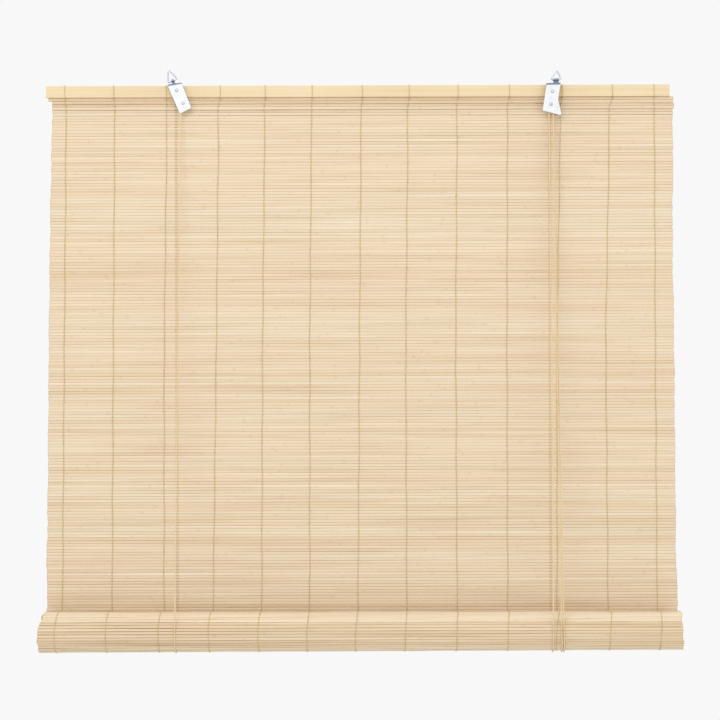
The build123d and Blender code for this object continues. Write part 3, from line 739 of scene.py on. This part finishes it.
roll_items, roll_pos = [], []
n_roll = int(TOTAL / PITCH)
for i in range(n_roll):
    r = random.Random(5000 + i)
    s = (i + 0.5) * PITCH
    y, z, a = spiral_point(s)
    x0 = at_s(ROLL_LEFT, s) + 0.5 * math.sin(i * 1.3) + r.uniform(-0.5, 0.5)
    x1 = at_s(ROLL_RIGHT, s) + 0.5 * math.sin(i * 1.1 + 2) + r.uniform(-0.5, 0.5)
    outer = i < 46
    bow_w = 0.16 if outer else 0.1
    bow_t = 0.30 if outer else 0.2
    lift = r.uniform(-0.10, 0.22)
    # painted groove shade on the roll, heavier than on the hanging mat
    groove_shade_gain = 0.98 + r.uniform(-0.2, 0.5)
    # painted light: the top of the roll, lit from above, gets little groove shade, so it reads as a smooth light band
    if 118 < s < 142:                       # the smooth light band along the top
        groove_shade_gain, lift = 0.30, 0.12
    # painted shade: every seventh outer slat sits a little lower, with darker painted grooves
    if i % 7 == 3 and outer:
        groove_shade_gain, lift = 1.5, -0.2

    def place(X, A, T, y=y, z=z, a=a, lift=lift):
        # T is outwards from the axis, A along the winding
        k = taper(X)
        ry, rz = y - CY, z - CZ
        ny, nz = math.cos(a), math.sin(a)
        ty, tz = -math.sin(a), math.cos(a)
        rr = T + lift
        return np.stack([X, CY + ry * k + ny * rr + ty * A, CZ + rz * k + nz * rr + tz * A], axis=1)

    roll_pos.append((s, y, z, a, lift))
    roll_items.append((7000 + i, x0, x1, r.uniform(4.64, 4.76), r.uniform(1.38, 1.6), 32, bow_w, bow_t, place, groove_shade_gain, False))
roll = build_slats("roll_slats", roll_items)
soften(roll)
wear(roll, M_SLAT)
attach(roll, "roll")
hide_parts("mat_roll")

verts, faces, lay, base = [], [], [], 0
for k, xs in enumerate(ROLL_STATIONS):
    r = random.Random(170 + k)
    for s_ in (-1, 1):
        pts = []
        for i in range(0, 66):
            s, y, z, a, lift = roll_pos[i]
            x = STATIONS[k][3] + (xs - STATIONS[k][3]) * at_s(SPREAD, s) + 0.4 * math.sin(i * 0.33 + k) + r.uniform(-0.2, 0.2)
            kk = taper(x)
            ry, rz = (y - CY) * kk, (z - CZ) * kk
            side = s_ if i % 2 == 0 else -s_
            ny, nz = math.cos(a), math.sin(a)
            ty, tz = -math.sin(a), math.cos(a)
            for da, out, dx in ((2.25, 0.80 * side, -0.75 * side), (1.2, 1.12 * side, -0.40 * side), (-1.2, 1.12 * side, 0.40 * side), (-2.25, 0.80 * side, 0.75 * side)):
                rr = out + lift * (1 if abs(out) > 1 else 0.5)
                pts.append((x + dx, CY + ry + ny * rr + ty * da, CZ + rz + nz * rr + tz * da))
        base = strand(np.array(pts) * MM, 0.56 * MM, 5, verts, faces, lay, base)
rt = make("warp_threads_on_roll", np.concatenate(verts), faces, {"lay": np.concatenate(lay)})
wear(rt, M_WARP)
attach(rt, "roll")

# ------------------------------------------------------------------ CAD pieces kept as they are
for names, mat in (
    (("headrail_batten", "bottom_batten"), M_RAIL),
    (("left_bracket", "right_bracket"), M_ZINC),
    (("left_ring", "right_ring", "tail_nail"), M_WIRE),
    (("left_fixing_rivet", "right_fixing_rivet", "left_axle_rivet", "right_axle_rivet", "left_spacer", "right_spacer", "lock_cam", "cam_pin"), M_RIVET),
    (("left_pulley", "right_pulley"), M_NYLON),
    (("cord_bell",), M_BELL),
    (("tail_knot",), M_CORD),
):
    for n in names:
        ob = NODES[n]
        for i in range(len(ob.material_slots)):
            ob.material_slots[i].material = mat

# ------------------------------------------------------------------ floor, light
bpy.ops.mesh.primitive_circle_add(vertices=96, radius=4.0, fill_type="NGON", location=(0, 0, -1.9))
floor = bpy.context.object
floor.name = "floor"
m, nt, bsdf = material("pale_floor")
bsdf.inputs["Base Color"].default_value = (0.86, 0.86, 0.86, 1)
bsdf.inputs["Roughness"].default_value = 0.8
floor.data.materials.append(m)

world = bpy.data.worlds.new("studio")
bpy.context.scene.world = world
bpy.context.scene.view_settings.view_transform = "Standard"
world.use_nodes = True
bg = world.node_tree.nodes["Background"]
bg.inputs[0].default_value = (1.0, 1.0, 1.0, 1)
bg.inputs[1].default_value = 0.94


def lamp(name, loc, aim, size, power, colour=(1, 1, 1)):
    d = bpy.data.lights.new(name, "AREA")
    d.shape = "RECTANGLE"
    d.size, d.size_y = size
    d.energy = power
    d.color = colour
    o = bpy.data.objects.new(name, d)
    bpy.context.scene.collection.objects.link(o)
    o.location = loc
    o.rotation_euler = (Vector(aim) - Vector(loc)).to_track_quat("-Z", "Y").to_euler()
    return o


lamp("key", (-1.2, -2.6, 1.9), (0, 0, -0.45), (2.2, 1.4), 31.0, (1.0, 0.985, 0.96))
lamp("fill", (2.4, -2.2, 0.2), (0, 0, -0.5), (1.8, 1.8), 7.0, (0.97, 0.98, 1.0))
lamp("rear", (0.6, 2.6, 1.6), (0, 0, -0.45), (2.4, 1.4), 16.0)
